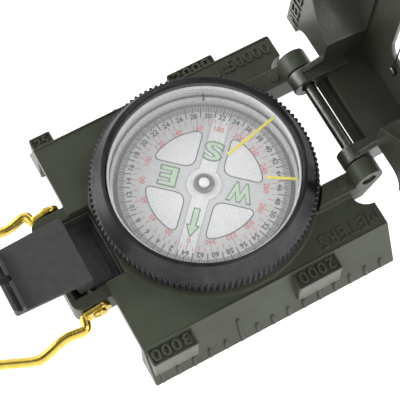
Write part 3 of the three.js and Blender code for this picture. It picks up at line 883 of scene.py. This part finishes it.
def make_cover_fittings():
    """The wire across the window, the two studs that hold it and the hinge pin."""
    front_x, hinge_x, stud_r, gap, wire_r = -16, 22.5, 1.1, 0.3, 0.2
    low, middle, high = CAVITY_Z - 0.2, CAVITY_Z + 0.1, CAVITY_Z + 0.4
    reach = stud_r + gap
    wire = along_x(disc(0, CAVITY_Z + wire_r, wire_r, 16), front_x + reach, hinge_x - reach)
    wire.transform(OPENED)
    piece("sighting_wire_round", wire, "cover", "dark_steel", replaced=["sighting_wire"])
    for name, x in (("front", front_x), ("hinge", hinge_x)):
        stud = lathe([(0, low), (stud_r - 0.3, low), (stud_r, middle), (stud_r, high), (0, high)], 32, 0.08)
        stud.transform(OPENED @ Matrix.Translation((x * MM, 0, 0)))
        piece(f"wire_stud_{name}", stud, "cover", "cover_paint", replaced=[f"wire_anchor_{name}"])
    pin = edged(along_y(disc(HINGE_X, HINGE_Z, HINGE_PIN_R, 48), -HINGE_PIN_Y, HINGE_PIN_Y), 0.2)
    piece("hinge_pin_rod", pin, "base", "dark_steel", replaced=["hinge_pin"])


def make_rear_sight():
    """The leaf, its pin and the coil spring of three and a half turns round the pin."""
    leaf = refined("rear_sight", 0.15)
    piece("rear_sight_leaf", leaf, "rear_sight", "black_plastic", replaced=["rear_sight"])
    pin_y = 10.2
    pin = edged(along_y(disc(PIVOT_X, PIVOT_Z, PIVOT_PIN_R, PIVOT_STEPS), -pin_y, pin_y), 0.12)
    piece("rear_sight_pin_rod", pin, "base", "bright_steel", replaced=["rear_sight_pin"])
    coil_r, coil_y, coil_length, coil_wire_r = 1.75, -6.4, 3.2, 0.28
    steps_per_turn, steps = 32, 112
    coil = []
    for k in range(steps + 1):
        turn = 2 * math.pi * k / steps_per_turn
        y = coil_y + coil_length * k / steps
        coil.append(Vector((PIVOT_X + coil_r * math.cos(turn), y, PIVOT_Z + coil_r * math.sin(turn))))
    piece("rear_sight_coil", swept(coil, coil_wire_r, Vector((0, 1, 0)), 12), "base", "bright_steel",
          replaced=["rear_sight_spring"])


def make_thumb_loop():
    """The bent wire with its flattened ends, and the two slotted screws that it swings on."""
    # Half of the wire's route as (distance out from the pivot, y), and the wide arc at its outer end.
    side = [(2.6, 12.9), (3.6, 13.0), (4.4, 14.9), (5.2, 15.2), (8.6, 14.65), (10.4, 14.7), (14.2, 15.5),
            (16.6, 15.75), (18.4, 15.2), (24, 12.5), (30.5, 9.5)]
    bend_r, bend_reach, widening = 7.4, 0.36 * math.pi, 1.12
    centre = LOOP_LENGTH - WIRE_R - bend_r
    turns = [bend_reach * (1 - k / 6) for k in range(13)]
    bend = [(centre + bend_r * math.cos(t), widening * bend_r * math.sin(t)) for t in turns]
    route = side + bend + [(out, -y) for out, y in reversed(side)]
    path = smooth_path([Vector((PIVOT_X - out, y, PIVOT_Z)) for out, y in route], 12)
    wire = swept(path, WIRE_R, Vector((0, 0, 1)), 24)
    tab_x, tab_z, tab_r = PIVOT_X - 3.4, 1.9, 2.15
    tab = along_y([(tab_x, PIVOT_Z - tab_z), *arc(PIVOT_X + 0.8, PIVOT_Z, tab_r, -90, 90, 16),
                   (tab_x, PIVOT_Z + tab_z)], TAB_IN, TAB_OUT)
    bore = along_y(disc(PIVOT_X, PIVOT_Z, PIVOT_BORE_R, PIVOT_STEPS), 10, 16)
    for part in both_sides(edged(combined(tab, ("DIFFERENCE", [bore])), 0.25)):
        put(wire, part, Matrix.Identity(4))
    wire.transform(turned(PIVOT_X, PIVOT_Z, -LOOP_DROOP))
    piece("thumb_loop_wire", wire, "thumb_loop", "brass", replaced=["thumb_loop"])

    head_r, slot_half = 1.55, 0.22
    head = along_y(disc(PIVOT_X, PIVOT_Z, head_r, BORE_STEPS), TAB_OUT + 0.06, TAB_OUT + 0.5)
    slot_low, slot_high = PIVOT_Z - slot_half, PIVOT_Z + slot_half
    slot = box(PIVOT_X - 3, PIVOT_X + 3, TAB_OUT + 0.25, TAB_OUT + 2, slot_low, slot_high)
    shank = along_y(disc(PIVOT_X, PIVOT_Z, PIVOT_PIN_R, 24), 10.6, TAB_OUT + 0.2)
    screw = edged(combined(head, ("UNION", [shank]), ("DIFFERENCE", [slot])), 0.12)
    for name, part in zip(("far", "near"), both_sides(screw)):
        piece(f"loop_screw_{name}_slotted", part, "base", "brass", replaced=[f"loop_screw_{name}"])


def make_bezel():
    """The knurled ring with its glass and seat, and the two luminous lines under the glass."""
    teeth, depth, steepness, valley = 120, 0.55, 2.2, 0.45

    def knurl(r, turn):
        """Only the rim is knurled: each tooth has a flat crest and each groove a flat valley."""
        if r < KNURL_R - 0.3:
            return r
        phase = (turn * teeth / (2 * math.pi)) % 1.0
        height = min(1.0, max(0.0, steepness * abs(2 * phase - 1) - valley))
        return r - depth * (1 - height)

    profile = [
        (23.6, 13.7), (25.0, 13.7), (25.0, 15.4), (KNURL_R, 15.4), (KNURL_R, 18.0), (24.8, 18.2),
        (LIP_R, 22.4), (22.6, LIP_Z), (LIP_BORE, LIP_Z), (LIP_BORE, 19.6), (21.2, 19.6), (21.2, 19.2),
        (22.3, 18.9), (22.3, 16.0), (23.6, 16.0), (23.6, 15.0), (24.3, 15.0), (24.3, 14.0), (23.6, 14.0),
    ]
    steps_per_tooth = 8
    piece("bezel_knurled", lathe(profile, teeth * steps_per_tooth, 0.15, knurl), "bezel", "black_anodised",
          replaced=["bezel_ring"])
    seat = ring_of(20.9, SEAT_R, 19.9, 20.9, 0.1)
    piece("glass_seat_ring", seat, "bezel", "capsule_plastic", replaced=["glass_seat"])
    pane = lathe([(0, GLASS_Z), (SEAT_R, GLASS_Z), (SEAT_R, 22.4), (0, 22.4)], DIAL_STEPS, 0.12)
    piece("bezel_glass_pane", pane, "bezel", "clear_glass", replaced=["bezel_glass"])
    outer, half, low, high = 20.5, 0.35, 20.6, 20.9
    for name, inner, turn in (("long", 6.9, LONG_LINE_TURN), ("short", 13.5, LONG_LINE_TURN - LINE_SPREAD)):
        stripe = edged(box(inner, outer, -half, half, low, high), 0.08)
        stripe.transform(Matrix.Rotation(turn, 4, "Z"))
        piece(f"luminous_stripe_{name}", stripe, "bezel", "luminous_yellow",
              replaced=[f"luminous_line_{name}"])


def make_capsule():
    """The cup with its seal and lid, the index mark printed on the lid, and the card with its hub."""
    inner, shelf_r, floor_z, shelf_z, rim_z = 20.4, 21.6, 6, 15.7, 18.7
    cup = lathe([
        (0, 1.8), (CUP_R, 1.8), (CUP_R, rim_z), (shelf_r, rim_z), (shelf_r, shelf_z), (inner, shelf_z),
        (inner, floor_z), (0, floor_z),
    ], DIAL_STEPS)
    piece("capsule_cup_moulding", cup, "base", "capsule_plastic", replaced=["capsule_cup"])
    seal = ring_of(20.95, LID_R, 16.0, 16.5, 0.1)
    piece("capsule_seal_ring", seal, "base", "seal_rubber", replaced=["capsule_seal"])
    lid_z = 18.1
    lid = lathe([(0, 16.8), (LID_R, 16.8), (LID_R, lid_z), (0, lid_z)], DIAL_STEPS)
    piece("capsule_lid_pane", lid, "base", "clear_glass", replaced=["capsule_lid"])
    mark = box(19.0, 20.8, -0.22, 0.22, lid_z - 0.02, lid_z + 0.03)
    mark.transform(Matrix.Rotation(INDEX_TURN, 4, "Z"))
    piece("capsule_index_mark", mark, "base", "seal_rubber", "print_black")
    card = ring_of(STEM_R + 0.3, CARD_R, CARD_Z, CARD_TOP_Z, 0.1)
    piece("card_plate", card, "card", "card_plastic", replaced=["card_disc"])
    hub = lathe([
        (0, 13.6), (1.15, 11.8), (STEM_R, 11.8), (STEM_R, 14.9), (2.35, 14.9), (2.35, 15.3),
        (2.0, 15.6), (1.5, 15.6), (1.5, 15.1), (0, 15.1),
    ], 64, 0.06)
    piece("card_hub_turned", hub, "card", "dark_steel", replaced=["card_hub"])
    jewel = lathe([(0, 15.4), (1.2, 15.4), (1.2, 15.8), (0.8, 16.1), (0, 16.2)], 48, 0.15)
    piece("jewel_dome", jewel, "card", "clear_glass", "jewel", replaced=["jewel_bearing"])


def make_printing():
    """Everything printed on the card, the luminous paint of its letters and arrow, and painted shade along
    the edges of its north-south bar.
    """
    layers = {look: bmesh.new() for look in ("black", "red", "bar_edge_shade", "bar_edge_soft_shade", "white", "green", "mint")}

    def at(bearing, radius, z=INK_Z):
        turn = NORTH - math.radians(bearing)
        outward = Vector((math.cos(turn), math.sin(turn), 0))
        right = Vector((outward.y, -outward.x, 0))
        return placed(outward * radius + Vector((0, 0, z)), right, outward)

    def tick(layer, bearing, inner, outer, width):
        outline = [(-width / 2, inner), (width / 2, inner), (width / 2, outer), (-width / 2, outer)]
        prism(layers[layer], outline, -0.04, 0, at(bearing, 0))

    def fill(layer, outline, z):
        prism(layers[layer], outline, -0.02, 0, at(0, 0, z))

    def loop(layer, outline, width, z):
        band(layers[layer], outline, grown(outline, width), -0.02, 0, at(0, 0, z))

    # 6400 mils in black round the rim: a mark for every 20, a long one or a figure for every 100.
    rim, figure_height, film = 19.15, 1.3, 0.04
    fine, hundred = 360 / 320, 360 / 64
    for k in range(320):
        tick("black", k * fine, 17.9, rim, 0.17)
    for k in range(32):
        tick("black", (2 * k + 1) * hundred, 16.5, rim, 0.24)
        tick("black", 2 * k * hundred, 17.6, rim, 0.22)
    for k in range(1, 33):
        figure = lettering(str(2 * k), figure_height, film, bold=0.03)
        put(layers["black"], figure, at(2 * k * hundred, 16.85))

    # 360 degrees in red inside them: a mark for every 5, a figure for every 20.
    for k in range(72):
        tick("red", k * 5, 14.55 if k % 2 == 0 else 15.25, 16.1, 0.18)
    for k in range(18):
        figure = lettering(str(20 * k), figure_height, film, bold=0.02)
        put(layers["red"], figure, at(20 * k, 13.85))

    # The light bar through north and south with a round middle, drawn east (x) and north (y), edged with
    # painted shade.
    near, far, half = 3.87, 17.4, 1.85
    corner = math.degrees(math.acos(half / near))
    bar = [
        (half, far), *arc(0, 0, near, corner, -corner, 24), (half, -far), (-half, -far),
        *arc(0, 0, near, 180 + corner, 180 - corner, 24), (-half, far),
    ]
    bar.reverse()
    fill("white", bar, CARD_TOP_Z + 0.02)
    # Painted shade: a grey band and a wider, paler band round the bar stand in for the shading along its
    # raised edges.
    loop("bar_edge_shade", bar, 0.3, CARD_TOP_Z + 0.015)
    loop("bar_edge_soft_shade", bar, 0.65, CARD_TOP_Z + 0.01)

    # Four windows between the bar and the line of the east and west marks.
    low, radius = 3.45, 13.0
    reach = math.sqrt(radius ** 2 - low ** 2)
    angle = math.degrees(math.asin(low / radius))
    clear = 8
    window = [(low, low, 2.3), (reach, low, 1.5)]
    window += [(x, y, 0) for x, y in arc(0, 0, radius, angle + clear, 90 - clear - angle, 12)]
    window += [(low, reach, 1.5)]
    shape = filleted(window)
    for right, up in ((1, 1), (-1, 1), (-1, -1), (1, -1)):
        outline = [(x * right, y * up) for x, y in shape]
        if right * up < 0:
            outline.reverse()
        fill("white", outline, CARD_TOP_Z + 0.02)
        loop("black", outline, 0.26, CARD_TOP_Z + 0.03)

    # Letters of mint paint with a green outline, which is a larger and bolder letter under them.
    out, letter_height, border = 8.3, 4.3, 0.8
    letters = (("E", out, 0, 4.5, 0), ("S", 0, -out, 4.7, 0), ("W", -out, 0, 6.0, 0.02))
    for text, east, north, width, heavy in letters:
        for layer, grow, bold, z in (("green", border, 0.06, 0.03), ("mint", 0, 0.015, 0.07)):
            height = letter_height + grow
            letter = lettering(text, height, 0.03, bold=bold + heavy, width=width - border + grow)
            place = at(0, 0, CARD_TOP_Z + z) @ Matrix.Translation((east * MM, north * MM, 0))
            put(layers[layer], letter, place)
    arrow = [(-0.5, 6.2), (0.5, 6.2), (0.5, 10.3), (1.15, 10.3), (0, 12.6), (-1.15, 10.3), (-0.5, 10.3)]
    fill("mint", arrow, CARD_TOP_Z + 0.09)
    loop("green", arrow, 0.3, CARD_TOP_Z + 0.06)

    # Each layer goes on the card in its own ink, and the bar's painted shade bands do too.
    for name, layer in layers.items():
        look = f"luminous_{name}" if name == "mint" else f"print_{name}"
        piece(f"card_{name}_marks", layer, "card", "card_plastic", look)


make_base()
make_base_relief()
make_base_fittings()
make_cover()
make_cover_fittings()
make_rear_sight()
make_thumb_loop()
make_bezel()
make_capsule()
make_printing()

for name, node in nodes.items():
    if not node.hide_render:
        slot = next(s["material_slot"] for s in frame["record"]["subparts"] if s["node"] == name)
        node.data.materials.clear()
        node.data.materials.append(LOOKS[slot])


# ---- Floor, light and camera ---------------------------------------------------------------------
FLOOR_REACH = 1600
FLOOR_GAP = 0.02
FLOOR_GLOW = 0.7
# The tent is white up to one height of the sky and grey from another, by the Z of the direction.
TENT_WHITE_TO = 0.68
TENT_GREY_FROM = 0.88
TENT_GREY = 0.12
TENT_STRENGTH = 1.5
# Each lamp's name, its place and size in metres, and its power in watts.
LAMPS = (
    ("key", (-0.45, 0.42, 0.25), 0.4, 3.3),
    ("fill", (0.42, -0.42, 0.28), 0.3, 1.2),
    ("top", (0.14, -0.22, 0.6), 0.22, 1.0),
)


def make_stage():
    """A white floor that glows a little, just under the compass."""
    bm = bmesh.new()
    bmesh.ops.create_grid(bm, x_segments=1, y_segments=1, size=FLOOR_REACH * MM)
    floor = bpy.data.objects.new("floor", mesh_from(bm, "floor"))
    floor.location.z = cad_box[0].z - FLOOR_GAP * MM
    bpy.context.scene.collection.objects.link(floor)
    look = Look("floor_paper")
    look.set(Base_Color=(0.92, 0.92, 0.92, 1), Roughness=0.9)
    look.set(Emission_Color=(1, 1, 1, 1), Emission_Strength=FLOOR_GLOW)
    floor.data.materials.append(look.material)


def make_lights():
    """A white tent, bright all round and dark overhead, with three soft lamps that face the compass."""
    world = bpy.data.worlds.new("studio")
    bpy.context.scene.world = world
    world.use_nodes = True
    tree = world.node_tree
    direction = tree.nodes.new("ShaderNodeTexCoord")
    parts = tree.nodes.new("ShaderNodeSeparateXYZ")
    ramp = tree.nodes.new("ShaderNodeValToRGB")
    tree.links.new(direction.outputs["Generated"], parts.inputs[0])
    tree.links.new(parts.outputs["Z"], ramp.inputs["Fac"])
    tree.links.new(ramp.outputs["Color"], tree.nodes["Background"].inputs["Color"])
    tree.nodes["Background"].inputs["Strength"].default_value = TENT_STRENGTH
    bright, dark = ramp.color_ramp.elements
    bright.position, bright.color = TENT_WHITE_TO, (1, 1, 1, 1)
    dark.position, dark.color = TENT_GREY_FROM, (TENT_GREY, TENT_GREY, TENT_GREY, 1)

    for name, place, size, energy in LAMPS:
        light = bpy.data.lights.new(name, "AREA")
        light.shape = "SQUARE"
        light.size = size
        light.energy = energy
        lamp = bpy.data.objects.new(name, light)
        lamp.location = place
        lamp.rotation_mode = "QUATERNION"
        lamp.rotation_quaternion = (-lamp.location).to_track_quat("-Z", "Y")
        bpy.context.scene.collection.objects.link(lamp)


def make_camera():
    """The view from the place that the camera's angles, distance and target give."""
    back = Vector((
        math.sin(AZIMUTH) * math.cos(ELEVATION),
        -math.cos(AZIMUTH) * math.cos(ELEVATION),
        math.sin(ELEVATION),
    ))
    level = Vector((math.cos(AZIMUTH), math.sin(AZIMUTH), 0))
    upright = back.cross(level)
    right = level * math.cos(ROLL) + upright * math.sin(ROLL)
    up = upright * math.cos(ROLL) - level * math.sin(ROLL)
    data = bpy.data.cameras.new("camera")
    data.lens = LENS
    data.sensor_width = 36.0
    data.clip_start = 0.01
    camera = bpy.data.objects.new("camera", data)
    turn = Matrix((right, up, back)).transposed().to_4x4()
    camera.matrix_world = Matrix.Translation(TARGET + back * DISTANCE) @ turn
    bpy.context.scene.collection.objects.link(camera)
    bpy.context.scene.camera = camera
    bpy.context.scene.view_settings.view_transform = "Standard"


make_stage()
make_lights()
make_camera()
